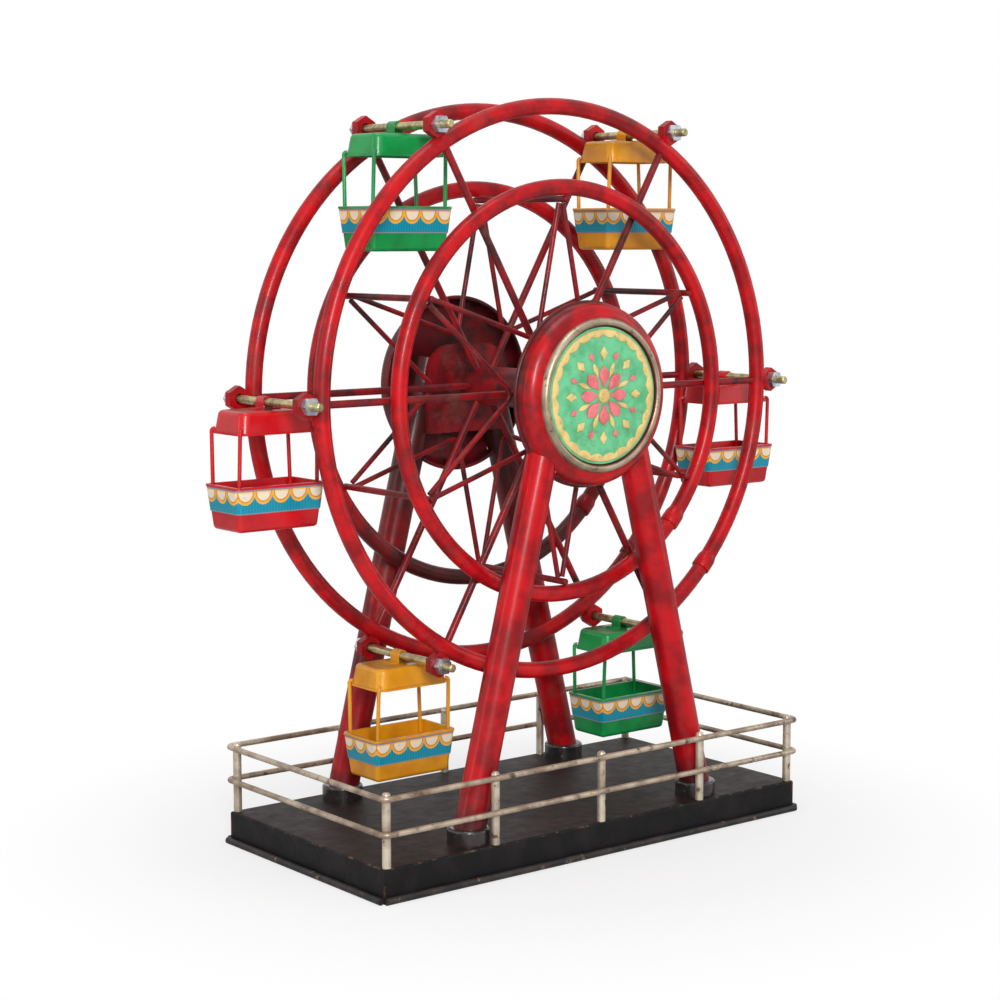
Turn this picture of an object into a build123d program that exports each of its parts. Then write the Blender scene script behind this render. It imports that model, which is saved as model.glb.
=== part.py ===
from build123d import *

import os
from math import atan2, cos, degrees, radians, sin, tan

# Big-wheel toy: a wheel with six hanging gondolas, turned by hand, on a fenced plinth.
# Millimetres. +Z is up, the axle runs along Y, and the medallion faces -Y. The origin is the
# middle of the plinth's underside. The wheel stands as it does at rest, with its gondolas at
# 0, 60, 120, 180, 240 and 300 degrees, counted from +X towards +Z.

# --- plinth ---------------------------------------------------------------------------------
BASE_LENGTH = 280.0
FOOT_TO_SIDE = 14.0  # middle of a foot to the plinth's long side
BASE_HEIGHT = 17.2
BASE_SHEET = 1.0  # thickness of the folded sheet and of the bottom plate
BASE_BEND = 1.2  # outer radius of the fold round the top
EDGE_ROD_DIA = 3.6  # rod laid along the foot of each side

# --- fence ----------------------------------------------------------------------------------
POST_DIA = 4.4
POST_HEIGHT = 37.4  # over the domed tip
POST_END_MARGIN = 1.0  # plinth end to the outside of a corner post
POST_SIDE_MARGIN = 0.0  # plinth side to the outside of a post
INNER_POST_X = 70.0  # posts between a corner post and the middle one
RAIL_DIA = 3.0
TOP_RAIL_HEIGHT = 34.8  # above the plinth
MID_RAIL_HEIGHT = 17.0

# --- wheel ----------------------------------------------------------------------------------
GONDOLAS = 6
OUTER_RADIUS = 146.6  # centre line of the outer rings
INNER_RADIUS = 105.5  # centre line of the inner rings
RING_TUBE = 8.5
OUTER_RING_Y = 30.6  # middle of the wheel to the centre line of an outer ring
RADIAL_ROD = 3.8
V_WIRE = 2.7
V_CORNER_RADIUS = 31.5  # axle centre to where the two legs of a bent wire would cross
V_BEND = 5.0  # bend radius of its centre line
V_SEAT = 0.4  # end of a bent wire to the cross rod it meets
CROSS_ROD = 3.4
CROSS_END = 2.6  # how far a cross rod runs past the middle of an inner ring
WELD_GAP = 0.05  # between pieces that are tacked side by side

# --- hub and axle ---------------------------------------------------------------------------
HUB_DIA = 21.0
HUB_WALL = 3.2
HUB_END = 2.4  # hub tube beyond the centre line of an outer ring
BUSH_LENGTH = 12.0
AXLE_DIA = 8.0
AXLE_FIT = 0.06  # radial running clearance in the bushes
THRUST_GAP = 0.3
SPACER_DIA = 13.0
PLATE_THICKNESS = 3.0
PLATE_WIDTH = 54.0
PLATE_RISE = 22.0  # above the axle
PLATE_DROP = 26.0  # below the axle
PLATE_CORNER = 16.0
AXLE_NUT_FLATS = 13.0
AXLE_NUT_THICKNESS = 6.0
AXLE_END = 4.0  # axle beyond its nut

# --- gondola rods and their lugs ------------------------------------------------------------
ROD_DIA = 4.2
ROD_CHAMFER = 0.6
LUG_FLATS = 11.5
LUG_THICKNESS = 4.5
LUG_PLAY = 0.6  # radial play of a rod in its lug
LUG_SEAT = 0.6  # depth of a lug's saddle in its ring
ROD_NUT_FLATS = 8.0
ROD_NUT_THICKNESS = 4.0
ROD_NUT_GAP = 0.3
THREAD_GAP = 0.05
ROD_FRONT_STUB = 6.8  # rod beyond its front nut
ROD_BACK_STUB = 2.0

# --- legs and hub cups ----------------------------------------------------------------------
LEG_TUBE = 16.5
LEG_WALL = 1.3
LEG_CLEARANCE = 3.8  # rod ends to the legs
LEG_GAP_AT_AXLE = 29.5  # between a pair of legs at the height of the axle
FOOT_INSET = 61.0  # plinth end to the middle of a foot
LEG_TOP = 14.0  # leg above the axle
FOOT_CUP_DIA = 21.8
FOOT_CUP_HEIGHT = 8.0
FOOT_CUP_ROUND = 1.4
FOOT_FIT = 0.1
CUP_LIP_RADIUS = 47.0
CUP_FACE_RADIUS = 39.0
CUP_DEPTH = 11.4  # lip to face
CUP_SIDE = 4.0  # straight part of the side, from the lip
CUP_SHEET = 1.0
CUP_LIP_ROLL = 1.1  # radius of the rolled lip
CUP_LEG_OFFSET = 1.0  # lip to the plane of the legs
CUP_NOTCH_GAP = 0.2
BEZEL_OUTER_RADIUS = 39.6
BEZEL_WIDTH = 4.6
BEZEL_HEIGHT = 3.0
MEDALLION_THICKNESS = 1.2
MEDALLION_DOME = 0.6
MEDALLION_FIT = 0.1

# --- gondola --------------------------------------------------------------------------------
BASE_CLEARANCE = 3.6  # plinth to the lowest point that a hanging gondola passes
SHIFT_ON_ROD = [5.0, 5.0, 3.5, 6.0, 3.0, 7.0]  # where each hangs along its rod, from the middle
ROOF_GAP = 1.5  # rod to roof
ROOF_LENGTH = 44.0
ROOF_WIDTH = 28.0
ROOF_HEIGHT = 11.4
ROOF_TAPER = 1.5  # how much each side leans in
ROOF_CORNER = 5.0
ROOF_ROUND = 2.6
ROOF_RIM = 0.5
ROOF_RIM_HEIGHT = 1.2
STRAP_WIDTH = 6.6
STRAP_THICKNESS = 0.8
STRAP_FOOT = 4.5
STRAP_FIT = 0.08
WINDOW_HEIGHT = 24.7  # roof to rim
BASIN_LENGTH = 50.4
BASIN_WIDTH = 29.6
BASIN_HEIGHT = 22.5
BASIN_TAPER = 2.2
BASIN_CORNER = 2.6
BASIN_ROUND = 2.4
TIN = 0.8  # sheet of roof and basin
BAND_TOP = 1.2  # rim to the printed band
BAND_HEIGHT = 12.2
BAND_RELIEF = 0.35
RIM_ROLL = 0.7
RIM_HEIGHT = 1.2
CORNER_WIRE = 2.0
WIRE_IN_BASIN = 6.5  # length of a corner wire inside the basin
WIRE_BEND = 1.5
WIRE_ARM_TURN = 40.0  # how far the arm of a corner wire turns from the long side
WIRE_SEAT = 0.12

# --- worked out from these ------------------------------------------------------------------
PIVOT_RADIUS = OUTER_RADIUS + RING_TUBE / 2 + LUG_FLATS / 2 - LUG_SEAT
INNER_RING_Y = OUTER_RING_Y + (RADIAL_ROD + RING_TUBE) / 2 + WELD_GAP
V_WIRE_Y = OUTER_RING_Y + (RADIAL_ROD + V_WIRE) / 2 + WELD_GAP
CROSS_RADIUS = INNER_RADIUS - (RING_TUBE + CROSS_ROD) / 2 - WELD_GAP
STEP = 360 / GONDOLAS

ROOF_TOP = -(ROD_DIA / 2 + ROOF_GAP)  # heights in a gondola count from its rod
ROOF_BOTTOM = ROOF_TOP - ROOF_HEIGHT
RIM_Z = ROOF_BOTTOM - WINDOW_HEIGHT
BASIN_BOTTOM = RIM_Z - BASIN_HEIGHT

HUB_HEIGHT = BASE_HEIGHT + BASE_CLEARANCE - BASIN_BOTTOM + PIVOT_RADIUS
HUB_HALF = OUTER_RING_Y + HUB_END

NUT_SEAT_Y = OUTER_RING_Y + LUG_THICKNESS / 2 + ROD_NUT_GAP
ROD_FRONT = NUT_SEAT_Y + ROD_NUT_THICKNESS + ROD_FRONT_STUB
ROD_BACK = NUT_SEAT_Y + ROD_NUT_THICKNESS + ROD_BACK_STUB
LEG_Y = ROD_FRONT + LEG_CLEARANCE + LEG_TUBE / 2
LEG_TOP_X = (LEG_GAP_AT_AXLE + LEG_TUBE) / 2
FOOT_X = BASE_LENGTH / 2 - FOOT_INSET
BASE_WIDTH = 2 * (LEG_Y + FOOT_TO_SIDE)
LEG_LEAN = degrees(atan2(FOOT_X - LEG_TOP_X, HUB_HEIGHT - BASE_HEIGHT))

POST_X = BASE_LENGTH / 2 - POST_END_MARGIN - POST_DIA / 2
POST_Y = BASE_WIDTH / 2 - POST_SIDE_MARGIN - POST_DIA / 2
RAIL_OFFSET = (POST_DIA + RAIL_DIA) / 2 + WELD_GAP

PLATE_OUTER_Y = LEG_Y - LEG_TUBE / 2 - WELD_GAP
PLATE_INNER_Y = PLATE_OUTER_Y - PLATE_THICKNESS
AXLE_HALF = PLATE_OUTER_Y + AXLE_NUT_THICKNESS + AXLE_END
CUP_LIP_Y = LEG_Y - CUP_LEG_OFFSET
CUP_FACE_Y = CUP_LIP_Y + CUP_DEPTH

AXLE_AXIS = Axis((0, 0, HUB_HEIGHT), (0, 1, 0))
AXLE_PLANE = Plane.XY.offset(HUB_HEIGHT)  # sketches on it hold the axle as their Y axis
FRONT_TO_BACK = Plane.XZ  # mirrors the front of the toy to its back
LEFT_TO_RIGHT = Plane.YZ


def wheel_plane(y):
    """A plane square to the axle at y, seen from the front: X to the right, Y up."""
    return Plane(origin=(0, y, HUB_HEIGHT), x_dir=(1, 0, 0), z_dir=(0, -1, 0))


def save(shape, name):
    """Label a finished piece and write it to its own file."""
    shape.label = name
    export_step(shape, f"parts/{name}.step")


def both_sides(shape, plane):
    """A piece with its mirror image, as a list."""
    return [shape, shape.mirror(plane)]


def around(shape, offset=0.0):
    """Copies of a piece at each gondola's angle about the axle, from +X towards +Z."""
    return [shape.rotate(AXLE_AXIS, -(offset + STEP * i)) for i in range(GONDOLAS)]


def group(shapes):
    """Separate solids that share one node."""
    return Compound([solid for shape in shapes for solid in shape.solids()])


def bent_rod(start, corner, end, bend, diameter):
    """A round rod with two straight runs and a bend between them."""
    start, corner, end = Vector(start), Vector(corner), Vector(end)
    into, out = (corner - start).normalized(), (end - corner).normalized()
    turn = into.get_angle(out)
    trim = bend * tan(radians(turn / 2))
    bend_start = corner - into * trim
    across = into.cross(out).normalized()
    with BuildPart() as rod:
        with BuildSketch(Plane(origin=bend_start, z_dir=into)) as section:
            Circle(diameter / 2)
        revolve(axis=Axis(bend_start + across.cross(into) * bend, across), revolution_arc=turn)
        extrude(section.sketch, amount=-(bend_start - start).length)
        with BuildSketch(Plane(origin=corner + out * trim, z_dir=out)):
            Circle(diameter / 2)
        extrude(amount=(end - corner).length - trim)
    return rod.part


os.makedirs("parts", exist_ok=True)

# --- plinth -----------------------------------------------------------------------------------
with BuildPart() as base_plinth:
    with BuildSketch():
        Rectangle(BASE_LENGTH, BASE_WIDTH)
    extrude(amount=BASE_HEIGHT)
    fillet(base_plinth.faces().sort_by(Axis.Z)[-1].edges(), BASE_BEND)
    with BuildSketch():
        Rectangle(BASE_LENGTH - 2 * BASE_SHEET, BASE_WIDTH - 2 * BASE_SHEET)
    extrude(amount=BASE_HEIGHT - BASE_SHEET, mode=Mode.SUBTRACT)
save(base_plinth.part, "base_plinth")

with BuildPart() as base_bottom_plate:
    with BuildSketch():
        Rectangle(BASE_LENGTH - 2 * BASE_SHEET, BASE_WIDTH - 2 * BASE_SHEET)
    extrude(amount=BASE_SHEET)
save(base_bottom_plate.part, "base_bottom_plate")

with BuildPart() as base_edge_rods:
    for side in (-1, 1):
        across = side * (BASE_WIDTH + EDGE_ROD_DIA) / 2
        along = side * (BASE_LENGTH + EDGE_ROD_DIA) / 2
        with BuildSketch(Plane.YZ):
            with Locations((across, EDGE_ROD_DIA / 2)):
                Circle(EDGE_ROD_DIA / 2)
        extrude(amount=BASE_LENGTH / 2, both=True)
        with BuildSketch(Plane.XZ):
            with Locations((along, EDGE_ROD_DIA / 2)):
                Circle(EDGE_ROD_DIA / 2)
        extrude(amount=BASE_WIDTH / 2, both=True)
save(base_edge_rods.part, "base_edge_rods")

# --- fence ------------------------------------------------------------------------------------
with BuildPart() as fence_posts:
    with BuildSketch(Plane.XY.offset(BASE_HEIGHT)):
        with Locations([(x, y) for x in (-POST_X, -INNER_POST_X, 0, INNER_POST_X, POST_X)
                        for y in (-POST_Y, POST_Y)]):
            Circle(POST_DIA / 2)
    extrude(amount=POST_HEIGHT)
    tips = fence_posts.edges().group_by(Axis.Z)[-1]
    fillet(tips, POST_DIA * 0.42)
save(fence_posts.part, "fence_posts")


def fence_rail(height):
    """One rail level: two long rods bent round the corner posts, two short rods between."""
    x, y = POST_X, POST_Y + RAIL_OFFSET
    with BuildPart() as long_rod:
        for side in (-1, 1):
            with BuildSketch(Plane(origin=(side * x, -y, BASE_HEIGHT + height), z_dir=(1, 0, 0))) as end:
                Circle(RAIL_DIA / 2)
            revolve(axis=Axis((side * x, -POST_Y, 0), (0, 0, side)), revolution_arc=90)
        extrude(end.sketch, amount=-2 * x)
    with BuildPart() as short_rod:
        with BuildSketch(Plane.XZ):
            with Locations((x + RAIL_OFFSET, BASE_HEIGHT + height)):
                Circle(RAIL_DIA / 2)
        extrude(amount=POST_Y, both=True)
    return group(both_sides(long_rod.part, FRONT_TO_BACK) + both_sides(short_rod.part, LEFT_TO_RIGHT))


save(fence_rail(TOP_RAIL_HEIGHT), "fence_top_rail")
save(fence_rail(MID_RAIL_HEIGHT), "fence_mid_rail")


# --- legs, feet and bearing plates --------------------------------------------------------------
def leg_axis_plane():
    """The plane square to the front left leg where its axis meets the plinth."""
    lean = radians(LEG_LEAN)
    return Plane(origin=(-FOOT_X, -LEG_Y, BASE_HEIGHT), x_dir=(0, 1, 0),
                 z_dir=(sin(lean), 0, cos(lean)))


LEG_LENGTH = (HUB_HEIGHT + LEG_TOP - BASE_HEIGHT) / cos(radians(LEG_LEAN))


def leg_core(radius, below, length):
    """A solid cylinder on the front left leg's axis."""
    with BuildPart() as core:
        with BuildSketch(leg_axis_plane().offset(-below)):
            Circle(radius)
        extrude(amount=below + length)
    return core.part


with BuildPart() as leg:
    add(leg_core(LEG_TUBE / 2, LEG_TUBE, LEG_LENGTH))
    add(leg_core(LEG_TUBE / 2 - LEG_WALL, 2 * LEG_TUBE, LEG_LENGTH + LEG_TUBE), mode=Mode.SUBTRACT)
    split(bisect_by=Plane.XY.offset(BASE_HEIGHT), keep=Keep.TOP)
save(leg.part, "leg_front_left")
save(leg.part.mirror(LEFT_TO_RIGHT), "leg_front_right")
save(leg.part.mirror(FRONT_TO_BACK), "leg_back_left")
save(leg.part.mirror(FRONT_TO_BACK).mirror(LEFT_TO_RIGHT), "leg_back_right")

with BuildPart() as foot_cup:
    foot_shift = FOOT_CUP_HEIGHT / 2 * sin(radians(LEG_LEAN))
    with BuildSketch(Plane.XY.offset(BASE_HEIGHT)):
        with Locations((-FOOT_X + foot_shift, -LEG_Y)):
            Circle(FOOT_CUP_DIA / 2)
    extrude(amount=FOOT_CUP_HEIGHT)
    fillet(foot_cup.faces().sort_by(Axis.Z)[-1].edges(), FOOT_CUP_ROUND)
    add(leg_core(LEG_TUBE / 2 + FOOT_FIT, LEG_TUBE, LEG_LENGTH), mode=Mode.SUBTRACT)
front_feet = both_sides(foot_cup.part, LEFT_TO_RIGHT)
save(group(front_feet + [foot.mirror(FRONT_TO_BACK) for foot in front_feet]), "foot_cups")

with BuildPart() as bearing_plate_front:
    with BuildSketch(wheel_plane(-PLATE_INNER_Y)):
        with Locations((0, (PLATE_RISE - PLATE_DROP) / 2)):
            Rectangle(PLATE_WIDTH, PLATE_RISE + PLATE_DROP)
        fillet(vertices().group_by(Axis.Y)[-1], PLATE_CORNER)
        Circle(AXLE_DIA / 2 + AXLE_FIT, mode=Mode.SUBTRACT)
    extrude(amount=PLATE_THICKNESS)
save(bearing_plate_front.part, "bearing_plate_front")
save(bearing_plate_front.part.mirror(FRONT_TO_BACK), "bearing_plate_back")

# --- axle ---------------------------------------------------------------------------------------
with BuildPart() as axle_shaft:
    with BuildSketch(wheel_plane(AXLE_HALF)):
        Circle(AXLE_DIA / 2)
    extrude(amount=2 * AXLE_HALF)
    chamfer(axle_shaft.edges().filter_by(GeomType.CIRCLE), ROD_CHAMFER)
save(axle_shaft.part, "axle_shaft")

with BuildPart() as axle_nut:
    with BuildSketch(wheel_plane(-PLATE_OUTER_Y)):
        RegularPolygon(AXLE_NUT_FLATS / 2, 6, major_radius=False)
        Circle(AXLE_DIA / 2 + THREAD_GAP, mode=Mode.SUBTRACT)
    extrude(amount=AXLE_NUT_THICKNESS)
save(group(both_sides(axle_nut.part, FRONT_TO_BACK)), "axle_nuts")

with BuildPart() as axle_spacer:
    with BuildSketch(wheel_plane(-HUB_HALF - THRUST_GAP)):
        Circle(SPACER_DIA / 2)
        Circle(AXLE_DIA / 2 + AXLE_FIT, mode=Mode.SUBTRACT)
    extrude(amount=PLATE_INNER_Y - HUB_HALF - THRUST_GAP)
save(group(both_sides(axle_spacer.part, FRONT_TO_BACK)), "axle_spacers")

# --- hub cups and medallion ---------------------------------------------------------------------
with BuildPart() as front_cup:
    with BuildSketch(AXLE_PLANE):
        with BuildLine():
            shoulder = CUP_DEPTH - CUP_SIDE
            side = Line((CUP_LIP_RADIUS, -CUP_LIP_Y), (CUP_LIP_RADIUS, -CUP_LIP_Y - CUP_SIDE))
            dome = EllipticalCenterArc((CUP_FACE_RADIUS, -CUP_LIP_Y - CUP_SIDE),
                                       CUP_LIP_RADIUS - CUP_FACE_RADIUS, shoulder,
                                       start_angle=270, arc_size=90)
            Line(dome @ 0, (0, -CUP_FACE_Y))
            Line((0, -CUP_FACE_Y), (0, -CUP_LIP_Y))
            Line((0, -CUP_LIP_Y), side @ 0)
        make_face()
        with BuildLine():
            inner_side = Line((CUP_LIP_RADIUS - CUP_SHEET, -CUP_LIP_Y),
                              (CUP_LIP_RADIUS - CUP_SHEET, -CUP_LIP_Y - CUP_SIDE))
            inner_dome = EllipticalCenterArc((CUP_FACE_RADIUS, -CUP_LIP_Y - CUP_SIDE),
                                             CUP_LIP_RADIUS - CUP_FACE_RADIUS - CUP_SHEET,
                                             shoulder - CUP_SHEET,
                                             start_angle=270, arc_size=90)
            Line(inner_dome @ 0, (0, -CUP_FACE_Y + CUP_SHEET))
            Line((0, -CUP_FACE_Y + CUP_SHEET), (0, -CUP_LIP_Y))
            Line((0, -CUP_LIP_Y), inner_side @ 0)
        make_face(mode=Mode.SUBTRACT)
        with Locations((CUP_LIP_RADIUS, -CUP_LIP_Y)):
            Circle(CUP_LIP_ROLL)
    revolve(axis=AXLE_AXIS)
    for notch in both_sides(leg_core(LEG_TUBE / 2 + CUP_NOTCH_GAP, 0, LEG_LENGTH), LEFT_TO_RIGHT):
        add(notch, mode=Mode.SUBTRACT)
save(front_cup.part, "front_cup")
save(front_cup.part.mirror(FRONT_TO_BACK), "back_cup")

with BuildPart() as medallion_bezel:
    with BuildSketch(AXLE_PLANE):
        with BuildLine():
            middle = BEZEL_OUTER_RADIUS - BEZEL_WIDTH / 2
            bead = EllipticalCenterArc((middle, -CUP_FACE_Y), BEZEL_WIDTH / 2, BEZEL_HEIGHT,
                                       start_angle=180, arc_size=180)
            Line(bead @ 0, bead @ 1)
        make_face()
    revolve(axis=AXLE_AXIS)
save(medallion_bezel.part, "medallion_bezel")

with BuildPart() as medallion:
    rim = BEZEL_OUTER_RADIUS - BEZEL_WIDTH - MEDALLION_FIT
    with BuildSketch(AXLE_PLANE):
        with BuildLine():
            Line((0, -CUP_FACE_Y), (rim, -CUP_FACE_Y))
            Line((rim, -CUP_FACE_Y), (rim, -CUP_FACE_Y - MEDALLION_THICKNESS))
            crown = Line((0, -CUP_FACE_Y), (0, -CUP_FACE_Y - MEDALLION_THICKNESS - MEDALLION_DOME))
            SagittaArc(crown @ 1, (rim, -CUP_FACE_Y - MEDALLION_THICKNESS), MEDALLION_DOME / 4)
        make_face()
    revolve(axis=AXLE_AXIS)
save(medallion.part, "medallion")


# --- wheel --------------------------------------------------------------------------------------
def ring(radius, y):
    """One closed ring of tube about the axle."""
    with BuildPart() as tube:
        with BuildSketch(AXLE_PLANE):
            with Locations((radius, y)):
                Circle(RING_TUBE / 2)
        revolve(axis=AXLE_AXIS)
    return tube.part


outer_ring = ring(OUTER_RADIUS, -OUTER_RING_Y)
inner_ring = ring(INNER_RADIUS, -INNER_RING_Y)
save(outer_ring, "ring_front_outer")
save(inner_ring, "ring_front_inner")
save(outer_ring.mirror(FRONT_TO_BACK), "ring_back_outer")
save(inner_ring.mirror(FRONT_TO_BACK), "ring_back_inner")

with BuildPart() as hub_tube:
    with BuildSketch(wheel_plane(HUB_HALF)):
        Circle(HUB_DIA / 2)
        Circle(HUB_DIA / 2 - HUB_WALL, mode=Mode.SUBTRACT)
    extrude(amount=2 * HUB_HALF)
save(hub_tube.part, "hub_tube")

with BuildPart() as hub_bush:
    with BuildSketch(wheel_plane(-HUB_HALF + BUSH_LENGTH)):
        Circle(HUB_DIA / 2 - HUB_WALL)
        Circle(AXLE_DIA / 2 + AXLE_FIT, mode=Mode.SUBTRACT)
    extrude(amount=BUSH_LENGTH)
save(group(both_sides(hub_bush.part, FRONT_TO_BACK)), "hub_bushes")

with BuildPart() as radial_rod:
    with BuildSketch(Plane(origin=(0, -OUTER_RING_Y, HUB_HEIGHT), z_dir=(1, 0, 0))):
        Circle(RADIAL_ROD / 2)
    extrude(amount=OUTER_RADIUS)
    with BuildSketch(wheel_plane(0)):
        Circle(HUB_DIA / 2)
    extrude(amount=2 * HUB_HALF, mode=Mode.SUBTRACT)
    add(outer_ring, mode=Mode.SUBTRACT)
front_radial_rods = around(radial_rod.part)
save(group(front_radial_rods + [rod.mirror(FRONT_TO_BACK) for rod in front_radial_rods]), "radial_rods")

with BuildPart() as cross_rod:
    with BuildSketch(wheel_plane(0)):
        with Locations((CROSS_RADIUS, 0)):
            Circle(CROSS_ROD / 2)
    extrude(amount=INNER_RING_Y + CROSS_END, both=True)
    fillet(cross_rod.edges().filter_by(GeomType.CIRCLE), CROSS_ROD * 0.3)
save(group(around(cross_rod.part, STEP / 2)), "cross_rods")

with BuildPart() as v_wire:
    # its two ends stop at cross rods, where the next wires also come in
    half = radians(STEP / 2)
    reach, beside = CROSS_RADIUS - CROSS_ROD / 2 - V_SEAT, V_WIRE / 2 + WELD_GAP
    end_x = reach * cos(half) + beside * sin(half)
    end_rise = reach * sin(half) - beside * cos(half)
    add(bent_rod((end_x, -V_WIRE_Y, HUB_HEIGHT - end_rise), (V_CORNER_RADIUS, -V_WIRE_Y, HUB_HEIGHT),
                 (end_x, -V_WIRE_Y, HUB_HEIGHT + end_rise), V_BEND, V_WIRE))
front_v_wires = around(v_wire.part)
save(group(front_v_wires + [wire.mirror(FRONT_TO_BACK) for wire in front_v_wires]), "v_wires")

with BuildPart() as eye_lug:
    with BuildSketch(wheel_plane(-OUTER_RING_Y)):
        with Locations((PIVOT_RADIUS, 0)):
            RegularPolygon(LUG_FLATS / 2, 6, major_radius=False, rotation=30)
            Circle(ROD_DIA / 2 + LUG_PLAY, mode=Mode.SUBTRACT)
    extrude(amount=LUG_THICKNESS / 2, both=True)
    add(outer_ring, mode=Mode.SUBTRACT)
front_eye_lugs = around(eye_lug.part)
save(group(front_eye_lugs + [lug.mirror(FRONT_TO_BACK) for lug in front_eye_lugs]), "eye_lugs")

# --- one gondola rod with its nuts, about the origin ----------------------------------------------
with BuildPart() as pivot_rod:
    with BuildSketch(Plane.XZ.offset(-ROD_BACK)):
        Circle(ROD_DIA / 2)
    extrude(amount=ROD_BACK + ROD_FRONT)
    chamfer(pivot_rod.edges().filter_by(GeomType.CIRCLE), ROD_CHAMFER)

with BuildPart() as rod_nut:
    with BuildSketch(Plane.XZ.offset(NUT_SEAT_Y)):
        RegularPolygon(ROD_NUT_FLATS / 2, 6, major_radius=False)
        Circle(ROD_DIA / 2 + THREAD_GAP, mode=Mode.SUBTRACT)
    extrude(amount=ROD_NUT_THICKNESS)

# --- one gondola, about the middle of its rod -------------------------------------------------------
def tapered_block(length, width, corner, open_z, closed_z, taper, rounding):
    """A block with rounded corners, full size at open_z and rounded off at its smaller side."""
    with BuildPart() as block:
        with BuildSketch(Plane.XY.offset(open_z)):
            RectangleRounded(length, width, corner)
        with BuildSketch(Plane.XY.offset(closed_z)):
            RectangleRounded(length - 2 * taper, width - 2 * taper, corner)
        loft(ruled=True)
        ends = block.faces().sort_by(Axis.Z)
        closed_side = ends[0] if closed_z < open_z else ends[-1]
        if rounding:
            fillet(closed_side.edges(), rounding)
    return block.part


with BuildPart() as gondola_roof:
    add(tapered_block(ROOF_LENGTH, ROOF_WIDTH, ROOF_CORNER, ROOF_BOTTOM, ROOF_TOP,
                      ROOF_TAPER, ROOF_ROUND))
    with BuildSketch(Plane.XY.offset(ROOF_BOTTOM)):
        RectangleRounded(ROOF_LENGTH + 2 * ROOF_RIM, ROOF_WIDTH + 2 * ROOF_RIM, ROOF_CORNER + ROOF_RIM)
    extrude(amount=ROOF_RIM_HEIGHT)
    add(tapered_block(ROOF_LENGTH - 2 * TIN, ROOF_WIDTH - 2 * TIN, ROOF_CORNER - TIN, ROOF_BOTTOM,
                      ROOF_TOP - TIN, ROOF_TAPER, ROOF_ROUND - TIN), mode=Mode.SUBTRACT)
    # the hanger strap goes over the rod, and its feet lie on the roof
    with BuildSketch(Plane.XZ) as strap:
        inside = ROD_DIA / 2 + STRAP_FIT
        outside = inside + STRAP_THICKNESS
        foot_end = outside + STRAP_FOOT
        foot_top = ROOF_TOP + STRAP_THICKNESS
        with BuildLine():
            CenterArc((0, 0), outside, 0, 180)
            CenterArc((0, 0), inside, 0, 180)
            for s in (-1, 1):
                Polyline((s * inside, 0), (s * inside, ROOF_TOP), (s * foot_end, ROOF_TOP),
                         (s * foot_end, foot_top), (s * outside, foot_top), (s * outside, 0))
        make_face()
    extrude(amount=STRAP_WIDTH / 2, both=True)

basin_slope = BASIN_TAPER / BASIN_HEIGHT
with BuildPart() as gondola_basin:
    add(tapered_block(BASIN_LENGTH, BASIN_WIDTH, BASIN_CORNER, RIM_Z, BASIN_BOTTOM,
                      BASIN_TAPER, BASIN_ROUND))
    # the printed band stands a little proud of the walls, and so does the rolled rim
    band_grow = 2 * (BAND_RELIEF - basin_slope * BAND_TOP)
    add(tapered_block(BASIN_LENGTH + band_grow, BASIN_WIDTH + band_grow, BASIN_CORNER,
                      RIM_Z - BAND_TOP, RIM_Z - BAND_TOP - BAND_HEIGHT,
                      basin_slope * BAND_HEIGHT, 0))
    with BuildSketch(Plane.XY.offset(RIM_Z - RIM_HEIGHT)):
        RectangleRounded(BASIN_LENGTH + 2 * RIM_ROLL, BASIN_WIDTH + 2 * RIM_ROLL, BASIN_CORNER + RIM_ROLL)
    extrude(amount=RIM_HEIGHT)
    fillet(gondola_basin.faces().sort_by(Axis.Z)[-1].edges(), RIM_ROLL * 0.7)
    add(tapered_block(BASIN_LENGTH - 2 * TIN, BASIN_WIDTH - 2 * TIN, BASIN_CORNER - TIN, RIM_Z,
                      BASIN_BOTTOM + TIN, BASIN_TAPER, BASIN_ROUND - TIN), mode=Mode.SUBTRACT)

with BuildPart() as corner_wire:
    # its arm rests on the roof's rim, and its foot stands in a corner of the basin
    arm_height = ROOF_RIM_HEIGHT + CORNER_WIRE / 2 + WIRE_SEAT
    roof_lean = ROOF_TAPER * arm_height / ROOF_HEIGHT
    arm_start = ROOF_CORNER - roof_lean + WIRE_SEAT
    arm_end = ROOF_CORNER + ROOF_RIM + WIRE_SEAT + CORNER_WIRE / 2
    roof_x, roof_y = ROOF_LENGTH / 2 - ROOF_CORNER, ROOF_WIDTH / 2 - ROOF_CORNER
    foot_in = BASIN_CORNER + basin_slope * WIRE_IN_BASIN
    foot_out = (BASIN_CORNER - TIN - CORNER_WIRE / 2 - WIRE_SEAT) * cos(radians(45))
    foot_x = BASIN_LENGTH / 2 - foot_in + foot_out
    foot_y = BASIN_WIDTH / 2 - foot_in + foot_out
    arm_z = ROOF_BOTTOM + arm_height
    toward = (cos(radians(WIRE_ARM_TURN)), sin(radians(WIRE_ARM_TURN)))
    add(bent_rod((roof_x + arm_start * toward[0], roof_y + arm_start * toward[1], arm_z),
                 (roof_x + arm_end * toward[0], roof_y + arm_end * toward[1], arm_z),
                 (foot_x, foot_y, RIM_Z - WIRE_IN_BASIN), WIRE_BEND, CORNER_WIRE))
end_wires = both_sides(corner_wire.part, FRONT_TO_BACK)
corner_wires = group(end_wires + [wire.mirror(LEFT_TO_RIGHT) for wire in end_wires])

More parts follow.
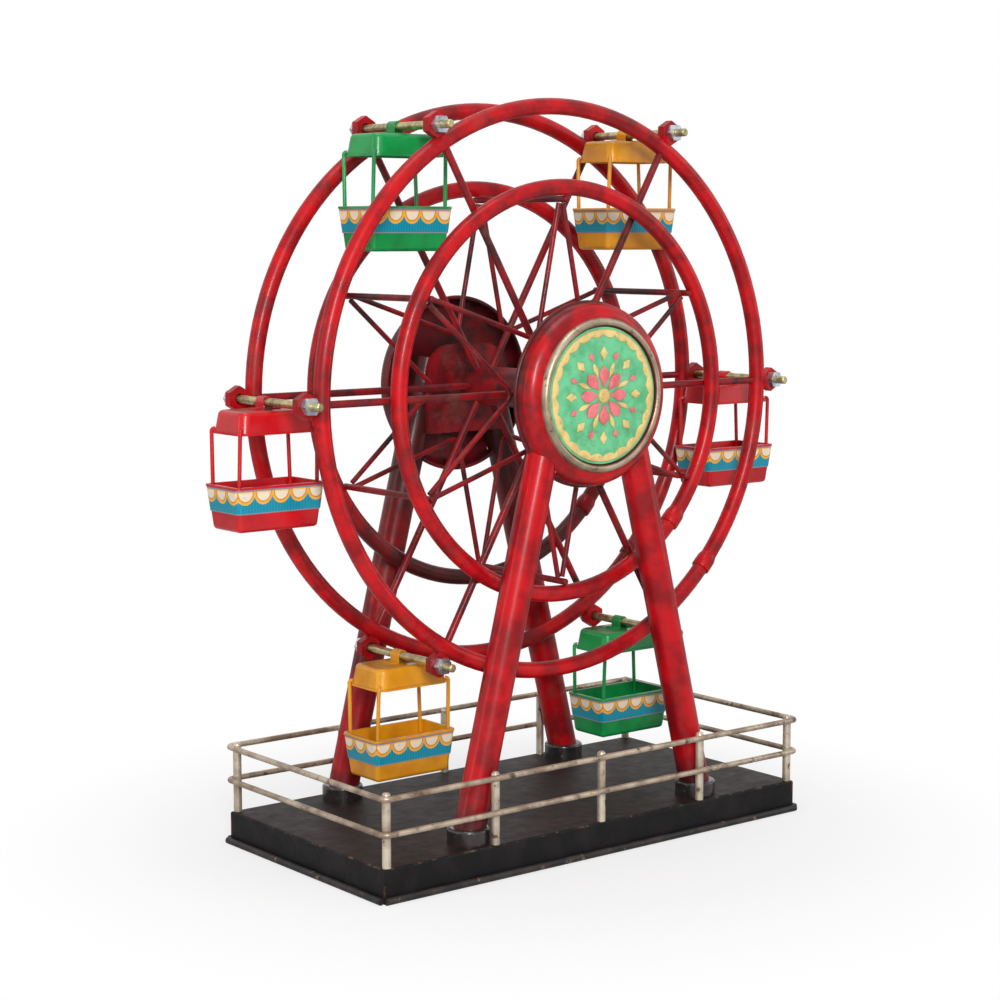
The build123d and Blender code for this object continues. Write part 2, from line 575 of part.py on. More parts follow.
# --- the six rods and gondolas, each at its place on the wheel ---------------------------------------
nuts = group(both_sides(rod_nut.part, FRONT_TO_BACK))
for number in range(GONDOLAS):
    angle = radians(STEP * number)
    pivot = (PIVOT_RADIUS * cos(angle), 0, HUB_HEIGHT + PIVOT_RADIUS * sin(angle))
    rod_place = Location(pivot)
    hang_place = Location((pivot[0], SHIFT_ON_ROD[number % len(SHIFT_ON_ROD)], pivot[2]))
    save(pivot_rod.part.moved(rod_place), f"rod_{number + 1}_shaft")
    save(nuts.moved(rod_place), f"rod_{number + 1}_nuts")
    save(gondola_roof.part.moved(hang_place), f"gondola_{number + 1}_roof")
    save(gondola_basin.part.moved(hang_place), f"gondola_{number + 1}_basin")
    save(corner_wires.moved(hang_place), f"gondola_{number + 1}_wires")

print(f"hub height {HUB_HEIGHT:.2f}, pivot radius {PIVOT_RADIUS:.2f}, legs at y {LEG_Y:.2f}")
print(f"overall height {HUB_HEIGHT + OUTER_RADIUS + RING_TUBE / 2:.1f}")
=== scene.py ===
"""Looks of the toy ferris wheel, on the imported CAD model. Metres, in the CAD's own frame."""
import math

import bmesh
import bpy
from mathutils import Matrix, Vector


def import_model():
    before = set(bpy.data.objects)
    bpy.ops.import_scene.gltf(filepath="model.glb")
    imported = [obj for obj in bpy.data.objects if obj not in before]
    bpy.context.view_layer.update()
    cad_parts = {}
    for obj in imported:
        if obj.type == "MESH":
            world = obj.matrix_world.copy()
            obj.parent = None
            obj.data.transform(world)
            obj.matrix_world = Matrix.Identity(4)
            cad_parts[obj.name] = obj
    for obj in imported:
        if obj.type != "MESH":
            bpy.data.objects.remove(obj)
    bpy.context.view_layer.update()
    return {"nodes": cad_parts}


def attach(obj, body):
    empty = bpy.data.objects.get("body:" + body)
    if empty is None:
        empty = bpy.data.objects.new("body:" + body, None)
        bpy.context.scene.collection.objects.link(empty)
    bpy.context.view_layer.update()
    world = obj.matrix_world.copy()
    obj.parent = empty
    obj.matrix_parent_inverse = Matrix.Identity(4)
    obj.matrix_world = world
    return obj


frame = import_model()
nodes = frame["nodes"]

HUB = Vector((0, 0, 0.239))
PIVOT_RADIUS = 0.156
SHIFTS = (0.005, 0.005, 0.0035, 0.006, 0.003, 0.007)
OUTER_RADIUS, INNER_RADIUS = 0.1466, 0.1055
OUTER_RING_Y, INNER_RING_Y = 0.0306, 0.0368
PLINTH_X, PLINTH_Y, PLINTH_TOP = 0.14, 0.07, 0.0172  # half its length, half its width, its height
RIM_Z, BAND_TOP, BAND_HEIGHT = -0.0397, 0.0012, 0.0122  # heights in a gondola count from its rod
BAND_X, BAND_Y = 0.02545, 0.01505  # half the band's length and width
SIDE_LOBES, END_LOBES = 5, 3  # awning lobes along a long side and an end
THREAD_START, THREAD_PITCH = 0.0225, 0.0008  # from the middle of a rod
BEZEL_GROOVE = 0.0357  # radius of the dark groove beside the medallion
MEDALLION_Y = -0.0664
MEDALLION_RADIUS = 0.0349


# --- shader helpers ---------------------------------------------------------------------------
class Graph:
    """A small writer for one material's nodes."""

    def __init__(self, name, roughness=0.4, metallic=0.0, **sockets):
        self.material = bpy.data.materials.new(name)
        self.material.use_nodes = True
        self.tree = self.material.node_tree
        self.shader = self.tree.nodes["Principled BSDF"]
        self.shader.inputs["Roughness"].default_value = roughness
        self.shader.inputs["Metallic"].default_value = metallic
        for label, value in sockets.items():
            self.shader.inputs[label.replace("_", " ")].default_value = value
        self.coords = self.add("ShaderNodeTexCoord").outputs["Object"]

    def add(self, kind, **settings):
        node = self.tree.nodes.new(kind)
        for key, value in settings.items():
            setattr(node, key, value)
        return node

    def put(self, socket, value):
        if isinstance(value, bpy.types.NodeSocket):
            self.tree.links.new(value, socket)
        elif isinstance(value, (tuple, list)) and len(value) == 3 and socket.type == "RGBA":
            socket.default_value = (*value, 1)
        else:
            socket.default_value = value

    def math(self, operation, *values, clamp=False):
        node = self.add("ShaderNodeMath", operation=operation, use_clamp=clamp)
        for socket, value in zip(node.inputs, values):
            self.put(socket, value)
        return node.outputs[0]

    def mix(self, factor, low, high, kind="MIX"):
        node = self.add("ShaderNodeMix", data_type="RGBA", blend_type=kind)
        self.put(node.inputs["Factor"], factor)
        self.put(node.inputs["A"], low)
        self.put(node.inputs["B"], high)
        return node.outputs["Result"]

    def noise(self, scale, detail=3.0, rough=0.55, stretch=(1, 1, 1), at=None):
        mapping = self.add("ShaderNodeMapping")
        self.put(mapping.inputs["Vector"], at or self.coords)
        mapping.inputs["Scale"].default_value = stretch
        node = self.add("ShaderNodeTexNoise")
        self.put(node.inputs["Vector"], mapping.outputs[0])
        node.inputs["Scale"].default_value = scale
        node.inputs["Detail"].default_value = detail
        node.inputs["Roughness"].default_value = rough
        return node.outputs["Fac"]

    def ramp(self, value, low, high):
        """0 below low, 1 above high, smooth between."""
        node = self.add("ShaderNodeMapRange", interpolation_type="SMOOTHSTEP")
        self.put(node.inputs["Value"], value)
        node.inputs["From Min"].default_value = low
        node.inputs["From Max"].default_value = high
        return node.outputs[0]

    def split(self, vector):
        node = self.add("ShaderNodeSeparateXYZ")
        self.put(node.inputs[0], vector)
        return node.outputs

    def normal(self):
        return self.split(self.add("ShaderNodeNewGeometry").outputs["Normal"])

    def bump(self, height, distance, strength=1.0):
        node = self.add("ShaderNodeBump")
        node.inputs["Strength"].default_value = strength
        node.inputs["Distance"].default_value = distance
        self.put(node.inputs["Height"], height)
        self.put(self.shader.inputs["Normal"], node.outputs[0])

    def color(self, value):
        self.put(self.shader.inputs["Base Color"], value)

    def roughness(self, value):
        self.put(self.shader.inputs["Roughness"], value)


def rgb(red, green, blue):
    """Linear colour from 0-255 display values."""
    def linear(c):
        c /= 255
        return c / 12.92 if c <= 0.04045 else ((c + 0.055) / 1.055) ** 2.4
    return linear(red), linear(green), linear(blue)


RED, RED_DEEP, UMBER = rgb(200, 8, 20), rgb(140, 8, 18), rgb(54, 26, 25)
BLOOM_AND_SHEEN = rgb(106, 62, 56)  # grey-brown bloom: glaze that has dried on the paint, with a painted sheen in it


def antiqued(name, paint, deep, umber, amount, gloss=0.3, dark_span=None, axis=2):
    """Glossy paint rubbed with a dark glaze, with a grey-brown bloom that is part dried glaze and part
    painted sheen, and fine chips.

    The span given as a pair is a place along the axis where the paint is dark brown and one where it is
    clean: on the back legs and the back inner ring that dark brown is painted shade, and on the front legs
    and the front cup it only makes the paint darker towards one end."""
    g = Graph(name, Specular_IOR_Level=0.24, Coat_Weight=0.1, Coat_Roughness=0.12)
    base = g.mix(g.ramp(g.noise(64, 4), 0.38, 0.66), paint, deep)
    glaze = g.math("MULTIPLY", g.ramp(g.noise(30, 6, 0.66), 0.5, 0.66), amount, clamp=True)
    base = g.mix(glaze, base, umber)
    # grey-brown patches at random: part dried glaze, part a painted sheen
    bloom_and_sheen = g.math("MULTIPLY", g.ramp(g.noise(52, 6, 0.7), 0.54, 0.68), 0.75 * amount, clamp=True)
    base = g.mix(bloom_and_sheen, base, BLOOM_AND_SHEEN)
    streak = g.math("MULTIPLY", g.ramp(g.noise(240, 4, 0.66), 0.54, 0.7), 0.6 * amount, clamp=True)
    base = g.mix(streak, base, umber)
    # dark brown towards one end along the axis: painted shade where the back legs and back inner ring use it
    if dark_span:
        spread = 0.8 * abs(dark_span[0] - dark_span[1])
        wander = g.math("MULTIPLY", g.math("SUBTRACT", g.noise(60, 5, 0.65), 0.5), spread)
        ragged = g.math("ADD", g.split(g.coords)[axis], wander)
        low = g.ramp(ragged, dark_span[1], dark_span[0])
        base = g.mix(g.math("MULTIPLY", low, 0.88), base, rgb(48, 27, 26))
    chips = g.ramp(g.noise(900, 2, 0.5), 0.72, 0.75)
    base = g.mix(chips, base, rgb(56, 40, 38))
    g.color(base)
    g.roughness(g.math("ADD", gloss, g.math("MULTIPLY", g.noise(120, 3), 0.2)))
    g.bump(g.math("ADD", g.noise(420, 3), g.math("MULTIPLY", chips, -1.0)), 0.00006, 0.6)
    return g.material


frame_red = antiqued("frame_red", RED, RED_DEEP, UMBER, 0.42)
# a darker copy of the red with more glaze, for the hub, bearing plates and rods inside the wheel: painted
# shade
inner_red_shaded = antiqued("inner_red_shaded", rgb(150, 18, 26), rgb(92, 20, 24), rgb(44, 24, 24), 0.9, gloss=0.32)
leg_red = antiqued("leg_red", rgb(198, 8, 22), rgb(142, 8, 18), UMBER, 0.2, gloss=0.22, dark_span=(0.022, 0.05))
front_cup_red = antiqued("front_cup_red", rgb(196, 8, 20), rgb(136, 8, 18), UMBER, 0.4, gloss=0.24,
                         dark_span=(-0.0545, -0.0655), axis=1)
# the back legs' red, darker and with more glaze than the front legs' and dark brown at their tops: painted
# shade
back_leg_red_shaded = antiqued("back_leg_red_shaded", rgb(186, 8, 20), rgb(120, 8, 16), UMBER, 0.5, gloss=0.28,
                        dark_span=(0.2, 0.11))
# the back inner ring: more glaze than the front rings and dark brown on its lower side: painted shade
back_ring_red_shaded = antiqued("back_ring_red_shaded", RED, RED_DEEP, UMBER, 0.6, dark_span=(0.14, 0.21))
# the back cup's red, much darker and fully glazed: painted shade inside the wheel
back_cup_red_shaded = antiqued("back_cup_red_shaded", rgb(112, 16, 22), rgb(64, 20, 22), rgb(38, 22, 22), 1.1, gloss=0.34)


def plinth_paint():
    g = Graph("plinth_paint", Specular_IOR_Level=0.16)
    x, y, z = g.split(g.coords)
    top = g.ramp(g.normal()[2], 0.7, 0.95)
    side = g.mix(g.ramp(g.noise(60, 4), 0.4, 0.75), rgb(19, 18, 20), rgb(34, 30, 31))
    brushed = g.ramp(g.noise(160, 5, 0.7, stretch=(0.12, 1.6, 1)), 0.35, 0.75)
    lid = g.mix(brushed, rgb(24, 16, 15), rgb(46, 30, 27))
    lid = g.mix(g.math("MULTIPLY", g.ramp(g.noise(24, 4), 0.45, 0.7), 0.55), lid, rgb(30, 21, 19))
    base = g.mix(top, side, lid)
    near_x = g.ramp(g.math("ABSOLUTE", x), PLINTH_X - 0.0014, PLINTH_X - 0.0002)
    near_y = g.ramp(g.math("ABSOLUTE", y), PLINTH_Y - 0.0014, PLINTH_Y - 0.0002)
    near_z = g.ramp(z, PLINTH_TOP - 0.0011, PLINTH_TOP - 0.0001)
    corner = g.math("MULTIPLY", near_x, near_y)
    edge = g.math("MAXIMUM", corner, g.math("MULTIPLY", near_z, g.math("MAXIMUM", near_x, near_y)))
    worn = g.math("MULTIPLY", edge, g.ramp(g.noise(150, 6, 0.7), 0.5, 0.66))
    base = g.mix(worn, base, g.mix(corner, rgb(120, 98, 80), rgb(142, 82, 62)))
    g.color(base)
    g.roughness(g.math("ADD", 0.38, g.math("MULTIPLY", g.noise(140, 4), 0.3)))
    lumps = g.math("MULTIPLY", g.noise(70, 5, 0.6), 3.0)
    g.bump(g.math("ADD", g.noise(500, 3, stretch=(0.3, 1, 1)), lumps), 0.0002, 0.6)
    return g.material


def rubbed_rod():
    g = Graph("edge_rod_paint", Specular_IOR_Level=0.3)
    base = g.mix(g.ramp(g.noise(90, 4), 0.4, 0.7), rgb(30, 28, 29), rgb(56, 48, 45))
    chips = g.ramp(g.noise(220, 6, 0.7), 0.6, 0.68)
    g.color(g.mix(chips, base, rgb(124, 104, 88)))
    g.roughness(g.math("ADD", 0.3, g.math("MULTIPLY", g.noise(200, 3), 0.3)))
    g.bump(g.math("MULTIPLY", chips, -1.0), 0.00006, 0.7)
    return g.material


def champagne(name, light, dark):
    g = Graph(name, metallic=0.55)
    base = g.mix(g.ramp(g.noise(80, 4), 0.35, 0.68), light, dark)
    rub = g.ramp(g.noise(170, 6, 0.7), 0.54, 0.68)
    g.color(g.mix(rub, base, rgb(92, 72, 60)))
    g.roughness(g.math("ADD", 0.26, g.math("MULTIPLY", g.noise(160, 3), 0.24)))
    g.bump(g.noise(600, 3), 0.00005, 0.6)
    return g.material


def foot_black():
    g = Graph("foot_black", Coat_Weight=0.5, Coat_Roughness=0.12)
    base = g.mix(g.ramp(g.noise(120, 4), 0.4, 0.7), rgb(18, 15, 16), rgb(44, 33, 31))
    g.color(g.mix(g.ramp(g.noise(420, 5, 0.65), 0.63, 0.69), base, rgb(116, 92, 78)))
    g.roughness(g.math("ADD", 0.2, g.math("MULTIPLY", g.noise(200, 3), 0.25)))
    g.bump(g.noise(260, 4), 0.0003, 0.6)
    return g.material


def plated(name, light, dark, roughness, threads=False):
    """Zinc plate with cloudy colour; threads adds fine ridges along Y."""
    g = Graph(name, metallic=0.9)
    g.color(g.mix(g.ramp(g.noise(220, 4, 0.6), 0.35, 0.7), light, dark))
    g.roughness(g.math("ADD", roughness, g.math("MULTIPLY", g.noise(300, 3), 0.18)))
    if threads:
        y = g.split(g.coords)[1]
        ridge = g.math("SINE", g.math("MULTIPLY", y, 2 * math.pi / THREAD_PITCH))
        ends = g.ramp(g.math("ABSOLUTE", y), THREAD_START, THREAD_START + 0.0015)
        g.bump(g.math("MULTIPLY", ridge, ends), 0.00012, 0.5)
    return g.material


def aged_nickel():
    g = Graph("bezel_nickel", metallic=0.75)
    base = g.mix(g.ramp(g.noise(60, 4), 0.35, 0.7), rgb(186, 170, 146), rgb(140, 122, 100))
    base = g.mix(g.ramp(g.noise(300, 5, 0.65), 0.56, 0.7), base, rgb(92, 74, 60))
    x, y, z = g.split(g.coords)
    up = g.math("SUBTRACT", z, HUB.z)
    radius = g.math("SQRT", g.math("ADD", g.math("MULTIPLY", x, x), g.math("MULTIPLY", up, up)))
    g.color(g.mix(g.ramp(radius, BEZEL_GROOVE + 0.0007, BEZEL_GROOVE), base, rgb(92, 38, 32)))
    g.roughness(g.math("ADD", 0.26, g.math("MULTIPLY", g.noise(160, 3), 0.25)))
    g.bump(g.noise(700, 3), 0.00004, 0.5)
    return g.material


def enamel(name, light, dark, dirt, amount=0.5):
    g = Graph(name, Coat_Weight=0.2, Coat_Roughness=0.25)
    base = g.mix(g.ramp(g.noise(120, 4), 0.35, 0.7), light, dark)
    stain = g.math("MULTIPLY", g.ramp(g.noise(260, 5, 0.65), 0.55, 0.72), amount)
    g.color(g.mix(stain, base, dirt))
    g.roughness(g.math("ADD", 0.38, g.math("MULTIPLY", g.noise(200, 3), 0.2)))
    g.bump(g.noise(500, 3), 0.00004, 0.5)
    return g.material


def gondola_paint(name, paint, deep, dusty):
    """Pressed tin, glossy on its walls and dusty on what faces up: the graph and its colour."""
    g = Graph(name, Specular_IOR_Level=0.36, Coat_Weight=0.2, Coat_Roughness=0.12)
    base = g.mix(g.ramp(g.noise(50, 3), 0.35, 0.75), paint, deep)
    up = g.ramp(g.normal()[2], 0.75, 0.97)
    dust = g.math("MULTIPLY", up, g.ramp(g.noise(210, 5, 0.65), 0.36, 0.6))
    base = g.mix(g.math("MULTIPLY", dust, 0.75), base, dusty)
    rub = g.ramp(g.noise(330, 4, 0.6), 0.68, 0.73)
    g.color(g.mix(rub, base, deep))
    g.roughness(g.math("ADD", 0.24, g.math("MULTIPLY", g.noise(160, 3), 0.18)))
    g.bump(g.noise(160, 3), 0.00008, 0.5)
    return g, g.shader.inputs["Base Color"].links[0].from_socket


def banded(name, paint, deep, dusty, centre):
    """Gondola paint with a printed awning band round the basin: scallops over a fringe."""
    g, base = gondola_paint(name, paint, deep, dusty)
    px, py, pz = g.split(g.coords)
    nx, ny, nz = g.normal()
    x, y = g.math("SUBTRACT", px, centre[0]), g.math("SUBTRACT", py, centre[1])
    depth = g.math("SUBTRACT", centre[2] + RIM_Z - BAND_TOP, pz)  # below the band's top edge
    facing = g.math("ADD", g.math("MULTIPLY", nx, x), g.math("MULTIPLY", ny, y))
    outward = g.math("GREATER_THAN", facing, 0.0)
    on_band = g.math("MULTIPLY", g.math("GREATER_THAN", depth, -0.00002),
                     g.math("LESS_THAN", depth, BAND_HEIGHT + 0.00002))
    upright = g.math("LESS_THAN", g.math("ABSOLUTE", nz), 0.6)
    mask = g.math("MULTIPLY", g.math("MULTIPLY", on_band, outward), upright)
    on_end = g.math("GREATER_THAN", g.math("ABSOLUTE", nx), g.math("ABSOLUTE", ny))
    along_side = g.math("DIVIDE", g.math("ADD", x, BAND_X), 2 * BAND_X / SIDE_LOBES)
    along_end = g.math("DIVIDE", g.math("ADD", y, BAND_Y), 2 * BAND_Y / END_LOBES)
    u = g.math("ADD", g.math("MULTIPLY", on_end, along_end),
               g.math("MULTIPLY", g.math("SUBTRACT", 1.0, on_end), along_side))
    across = g.math("SUBTRACT", g.math("FRACT", g.math("ADD", u, 20.0)), 0.5)

    def lobe(half_width, top, drop):
        """Squared distance in a half ellipse that hangs from top."""
        a = g.math("DIVIDE", across, half_width)
        b = g.math("DIVIDE", g.math("SUBTRACT", depth, top), drop)
        return g.math("ADD", g.math("MULTIPLY", a, a), g.math("MULTIPLY", b, b))

    orange, line, cream = rgb(244, 178, 62), rgb(206, 120, 48), rgb(240, 228, 208)
    teal, teal_dark, lilac = rgb(0, 150, 175), rgb(0, 116, 142), rgb(150, 138, 158)
    threads = g.ramp(g.math("SINE", g.math("MULTIPLY", u, 2 * math.pi * 6)), 0.2, 0.9)
    fringe = g.math("MULTIPLY", threads, g.ramp(depth, 0.0052, 0.0062))
    pattern = g.mix(g.math("MULTIPLY", fringe, 0.6), teal, teal_dark)
    pattern = g.mix(g.math("LESS_THAN", lobe(0.54, 0.0010, 0.0066), 1.0), pattern, orange)
    ring = lobe(0.43, 0.0016, 0.0047)
    pattern = g.mix(g.math("LESS_THAN", ring, 1.0), pattern, line)
    pattern = g.mix(g.math("LESS_THAN", ring, 0.83), pattern, rgb(250, 200, 110))
    below_line = g.math("GREATER_THAN", depth, 0.0017)
    pattern = g.mix(g.math("MULTIPLY", g.math("LESS_THAN", ring, 0.68), below_line), pattern, cream)
    pattern = g.mix(g.math("LESS_THAN", depth, 0.0010), pattern, lilac)
    pattern = g.mix(g.math("GREATER_THAN", depth, BAND_HEIGHT - 0.0005), pattern, lilac)
    specks = g.ramp(g.noise(420, 4, 0.6), 0.66, 0.72)
    pattern = g.mix(g.math("MULTIPLY", specks, 0.5), pattern, rgb(120, 100, 90))
    g.color(g.mix(mask, base, pattern))
    return g.material


# --- finishes on the CAD pieces -----------------------------------------------------------------
def finish(material, *names):
    for name in names:
        mesh = nodes[name].data
        mesh.materials.clear()
        mesh.materials.append(material)


steel = plated("axle_steel", rgb(150, 146, 140), rgb(110, 104, 98), 0.32)
finish(plinth_paint(), "base_plinth", "base_bottom_plate")
finish(rubbed_rod(), "base_edge_rods")
finish(champagne("post_champagne", rgb(214, 202, 182), rgb(168, 150, 130)), "fence_posts")
finish(champagne("rail_champagne", rgb(196, 180, 158), rgb(140, 120, 102)),
       "fence_top_rail", "fence_mid_rail")
finish(leg_red, "leg_front_left", "leg_front_right")
finish(front_cup_red, "front_cup")
finish(back_leg_red_shaded, "leg_back_left", "leg_back_right")
finish(back_cup_red_shaded, "back_cup")
finish(back_ring_red_shaded, "ring_back_inner")
finish(inner_red_shaded, "bearing_plate_front", "bearing_plate_back", "axle_spacers", "hub_tube", "cross_rods",
       "radial_rods", "v_wires")
finish(frame_red, "ring_front_outer", "ring_back_outer", "ring_front_inner", "eye_lugs")
finish(foot_black(), "foot_cups")
finish(aged_nickel(), "medallion_bezel")
finish(enamel("medallion_mint", rgb(112, 206, 150), rgb(84, 176, 122), rgb(110, 116, 78)), "medallion")
finish(steel, "axle_shaft", "axle_nuts", "hub_bushes")

zinc_yellow = plated("rod_zinc", rgb(196, 184, 138), rgb(140, 128, 94), 0.24, threads=True)
zinc_bright = plated("nut_zinc", rgb(208, 214, 222), rgb(150, 158, 170), 0.2)
PAINTS = {"red": (rgb(208, 14, 26), rgb(176, 12, 22), rgb(140, 84, 74)),
          "yellow": (rgb(232, 160, 24), rgb(206, 130, 18), rgb(166, 120, 60)),
          "green": (rgb(8, 154, 74), rgb(4, 118, 56), rgb(84, 116, 74))}
for k, colour in enumerate(("red", "yellow", "green") * 2):
    turn = math.radians(60 * k)
    centre = (PIVOT_RADIUS * math.cos(turn), SHIFTS[k], HUB.z + PIVOT_RADIUS * math.sin(turn))
    finish(zinc_yellow, f"rod_{k + 1}_shaft")
    finish(zinc_bright, f"rod_{k + 1}_nuts")
    finish(gondola_paint(f"gondola_{colour}_{k + 1}", *PAINTS[colour])[0].material,
           f"gondola_{k + 1}_roof", f"gondola_{k + 1}_wires")
    finish(banded(f"gondola_band_{k + 1}", *PAINTS[colour], centre), f"gondola_{k + 1}_basin")


# --- pieces that only the looks need ---------------------------------------------------------------
def new_piece(name, mesh_maker, material, body, smooth=True):
    bm = bmesh.new()
    mesh_maker(bm)
    mesh = bpy.data.meshes.new(name)
    bm.to_mesh(mesh)
    bm.free()
    for face in mesh.polygons:
        face.use_smooth = smooth
    mesh.materials.append(material)
    piece = bpy.data.objects.new(name, mesh)
    bpy.context.scene.collection.objects.link(piece)
    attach(piece, body)
    return piece


def tube_sleeve(name, radius, y, degrees, material):
    """The belled end of a ring's tube, where its other end is pushed in: wide, then stepped down."""
    profile = ((-5.2, 4.3), (-3.8, 4.7), (-2.4, 5.1), (3.8, 5.2), (4.4, 5.0), (4.5, 4.3))  # mm along, radius
    sides = 48

    def make(bm):
        rings = []
        for along, tube in profile:
            angle = math.radians(degrees) - along / 1000 / radius
            out = Vector((math.cos(angle), 0, math.sin(angle)))
            middle_of = HUB + out * radius + Vector((0, y, 0))
            around = (2 * math.pi * i / sides for i in range(sides))
            spokes = (out * math.cos(t) + Vector((0, 1, 0)) * math.sin(t) for t in around)
            rings.append([bm.verts.new(middle_of + spoke * tube / 1000) for spoke in spokes])
        for a, b in zip(rings, rings[1:]):
            for i in range(sides):
                j = (i + 1) % sides
                bm.faces.new((a[i], a[j], b[j], b[i]))
        bmesh.ops.recalc_face_normals(bm, faces=bm.faces)
    piece = new_piece(name, make, material, "wheel")
    return piece


SLEEVE_ANGLE = -43  # degrees from +X towards +Z
for place, radius, y in (("outer", OUTER_RADIUS, OUTER_RING_Y), ("inner", INNER_RADIUS, INNER_RING_Y)):
    tube_sleeve(f"sleeve_front_{place}", radius, -y, SLEEVE_ANGLE, frame_red)
    tube_sleeve(f"sleeve_back_{place}", radius, y, SLEEVE_ANGLE, frame_red)


# --- the medallion's relief: a rosette, lozenges and a scalloped border -----------------------------
def medallion_y(radius):
    """The medallion's face at that radius from its middle."""
    t = min(radius / MEDALLION_RADIUS, 1.0)
    return MEDALLION_Y - 0.0012 - 0.0006 * (1 - t) - 0.0006 * t * (1 - t)


def raised(bm, outline, height, inset=0.72):
    """One raised motif: its outline sinks into the face, and its crown stands height above it."""
    centre_x = sum(p[0] for p in outline) / len(outline)
    centre_z = sum(p[1] for p in outline) / len(outline)

    def vertex(x, z, above):
        return bm.verts.new((x, medallion_y(math.hypot(x, z)) - above, HUB.z + z))
    foot = [vertex(x, z, -0.0001) for x, z in outline]
    wall = [vertex(x, z, height * 0.6) for x, z in outline]
    shoulder = [vertex(centre_x + (x - centre_x) * inset, centre_z + (z - centre_z) * inset, height)
                for x, z in outline]
    count = len(outline)
    for low, high in ((foot, wall), (wall, shoulder)):
        for i in range(count):
            j = (i + 1) % count
            bm.faces.new((low[i], low[j], high[j], high[i]))
    bm.faces.new(shoulder)


def turned(points, angle):
    c, s = math.cos(angle), math.sin(angle)
    return [(x * c - z * s, x * s + z * c) for x, z in points]


def petal(start, end, half_width, steps=14):
    """A leaf outline along X, widest past its middle."""
    side = [(start, 0.0)]
    for i in range(1, steps):
        t = i / steps
        side.append((start + (end - start) * t, half_width * math.sin(math.pi * t ** 1.35) ** 0.8))
    side.append((end, 0.0))
    return side + [(x, -z) for x, z in side[-2:0:-1]]


def disc(radius, steps=28):
    turns = (2 * math.pi * i / steps for i in range(steps))
    return [(radius * math.cos(t), radius * math.sin(t)) for t in turns]


def motif_piece(name, outlines, height, material):
    def make(bm):
        for outline in outlines:
            raised(bm, outline, height)
        bmesh.ops.recalc_face_normals(bm, faces=bm.faces)
    piece = new_piece(name, make, material, "stand", smooth=False)
    bevel = piece.modifiers.new("soften", "BEVEL")
    bevel.width, bevel.segments, bevel.limit_method = 0.00012, 2, "ANGLE"
    return piece


def scalloped_border(bm):
    """A flat band whose inner edge is a row of scallops, made as loops from its inner foot outwards."""
    steps, scallops = 384, 24
    crown, outer = 0.0333, 0.0338  # radii where the flat top ends and where the band ends

    def edge(t):
        return 0.0296 + 0.0019 * (1 - abs(math.sin(scallops / 2 * t)) ** 0.75)

    section = ((edge, -0.0001), (edge, 0.0004), (lambda t: edge(t) + 0.0006, 0.0007),
               (lambda t: crown, 0.0007), (lambda t: outer, 0.0003), (lambda t: outer, -0.0001))
    loops = []
    for radius_at, above in section:
        loop = []
        for t in (2 * math.pi * i / steps for i in range(steps)):
            radius = radius_at(t)
            place = (radius * math.cos(t), medallion_y(radius) - above, HUB.z + radius * math.sin(t))
            loop.append(bm.verts.new(place))
        loops.append(loop)
    for a, b in zip(loops, loops[1:]):
        for i in range(steps):
            j = (i + 1) % steps
            bm.faces.new((a[i], a[j], b[j], b[i]))
    bmesh.ops.recalc_face_normals(bm, faces=bm.faces)


pink = enamel("relief_pink", rgb(240, 128, 132), rgb(216, 96, 104), rgb(120, 70, 60), 0.4)
cream_enamel = enamel("relief_cream", rgb(240, 212, 140), rgb(214, 178, 104), rgb(140, 100, 60), 0.45)
eighth = math.pi / 4
motif_piece("rosette_petals", [turned(petal(0.0042, 0.0150, 0.0030), eighth * i) for i in range(8)],
            0.0011, pink)
motif_piece("rosette_middle", [disc(0.0036)], 0.0014, cream_enamel)
motif_piece("small_leaves", [turned(petal(0.0098, 0.0178, 0.0012), eighth * (i + 0.5)) for i in range(8)],
            0.0008, cream_enamel)
lozenge = [(0.0182, 0.0), (0.0216, 0.0023), (0.0250, 0.0), (0.0216, -0.0023)]
motif_piece("lozenges", [turned(lozenge, eighth * i) for i in range(8)], 0.0010, cream_enamel)
motif_piece("lozenge_pairs", [turned([(x * 0.72 + 0.0058, z * 0.72) for x, z in lozenge], eighth * (i + 0.5))
                              for i in range(8)], 0.0009, pink)
new_piece("scalloped_border", scalloped_border, cream_enamel, "stand")


# --- floor, light and camera ------------------------------------------------------------------------
def floor():
    """White ground whose shadow stays near the toy; the camera sees it go to plain white further out."""
    bm = bmesh.new()
    bmesh.ops.create_grid(bm, x_segments=1, y_segments=1, size=8.0)
    mesh = bpy.data.meshes.new("floor")
    bm.to_mesh(mesh)
    bm.free()
    ground = bpy.data.objects.new("floor", mesh)
    bpy.context.scene.collection.objects.link(ground)
    g = Graph("floor", roughness=0.9)
    g.shader.inputs["Base Color"].default_value = (0.93, 0.93, 0.93, 1)
    g.shader.inputs["Specular IOR Level"].default_value = 0.1
    x, y, z = g.split(g.coords)
    away = g.math("SQRT", g.math("ADD", g.math("MULTIPLY", x, x), g.math("MULTIPLY", y, y)))
    glow = g.math("ADD", 0.68, g.math("MULTIPLY", g.ramp(away, 0.1, 0.3), 0.32))
    seen = g.add("ShaderNodeLightPath").outputs["Is Camera Ray"]
    light, mix = g.add("ShaderNodeEmission"), g.add("ShaderNodeMixShader")
    g.put(mix.inputs[0], g.math("MULTIPLY", glow, seen))
    g.put(mix.inputs[1], g.shader.outputs[0])
    g.put(mix.inputs[2], light.outputs[0])
    g.put(g.tree.nodes["Material Output"].inputs["Surface"], mix.outputs[0])
    mesh.materials.append(g.material)
    ground.location.z = -0.0002


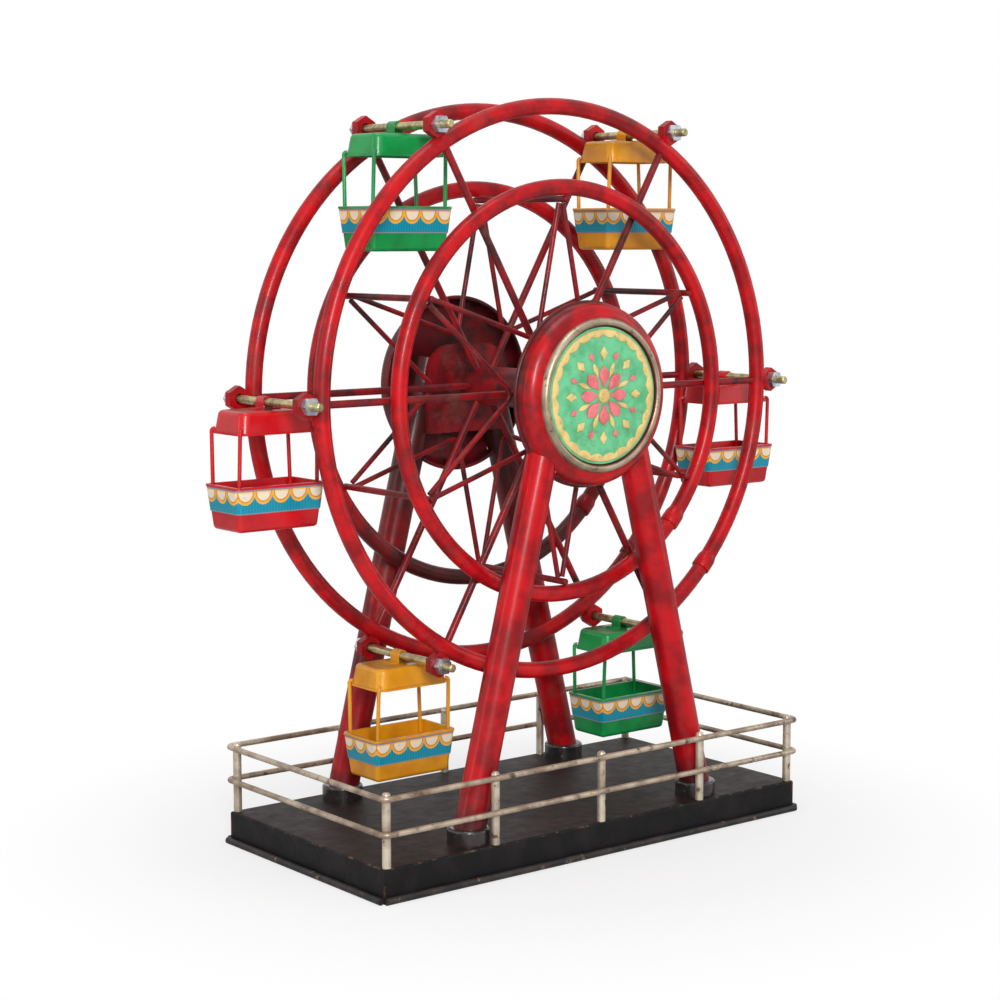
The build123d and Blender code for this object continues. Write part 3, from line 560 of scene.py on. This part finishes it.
def world():
    """White behind the toy, and a dimmer white to light it."""
    scene_world = bpy.data.worlds.new("studio")
    bpy.context.scene.world = scene_world
    scene_world.use_nodes = True
    tree = scene_world.node_tree
    tree.nodes.clear()
    path = tree.nodes.new("ShaderNodeLightPath")
    seen = path.outputs["Is Camera Ray"]
    for ray in ("Is Glossy Ray", "Is Transmission Ray"):
        either = tree.nodes.new("ShaderNodeMath")
        either.operation = "MAXIMUM"
        tree.links.new(seen, either.inputs[0])
        tree.links.new(path.outputs[ray], either.inputs[1])
        seen = either.outputs[0]
    mix = tree.nodes.new("ShaderNodeMixShader")
    tree.links.new(seen, mix.inputs[0])
    for socket, strength in ((mix.inputs[1], 0.17), (mix.inputs[2], 1.0)):
        shade = tree.nodes.new("ShaderNodeBackground")
        shade.inputs["Color"].default_value = (1, 1, 1, 1)
        shade.inputs["Strength"].default_value = strength
        tree.links.new(shade.outputs[0], socket)
    out = tree.nodes.new("ShaderNodeOutputWorld")
    tree.links.new(mix.outputs[0], out.inputs[0])


def area_light(name, place, target, size, power):
    data = bpy.data.lights.new(name, "AREA")
    data.shape = "RECTANGLE"
    data.size, data.size_y = size
    data.energy = power
    lamp = bpy.data.objects.new(name, data)
    lamp.location = place
    lamp.rotation_euler = (Vector(target) - Vector(place)).to_track_quat("-Z", "Y").to_euler()
    bpy.context.scene.collection.objects.link(lamp)


def photo_camera():
    data = bpy.data.cameras.new("photo_camera")
    data.sensor_width = 36
    data.lens = 79.463
    data.shift_x, data.shift_y = -0.01878, 0.00359
    data.clip_start, data.clip_end = 0.05, 50
    camera = bpy.data.objects.new("photo_camera", data)
    azimuth, elevation = math.radians(-38.8206), math.radians(7.0422)
    back = Vector((math.sin(azimuth) * math.cos(elevation), -math.cos(azimuth) * math.cos(elevation),
                   math.sin(elevation)))
    camera.location = (-0.735833, -0.913878, 0.322112)
    camera.rotation_euler = back.to_track_quat("Z", "Y").to_euler()
    bpy.context.scene.collection.objects.link(camera)
    bpy.context.scene.camera = camera


floor()
world()
middle = (0, 0, 0.2)
area_light("key", (-0.95, -1.45, 0.8), middle, (0.3, 0.6), 22)
area_light("left", (-1.6, 0.3, 0.6), middle, (0.3, 1.0), 2.5)
area_light("right", (1.4, -0.9, 0.5), middle, (0.3, 1.0), 2.5)
area_light("top", (-0.2, -0.2, 1.9), middle, (0.8, 0.8), 8)
photo_camera()
bpy.context.scene.view_settings.view_transform = "Standard"
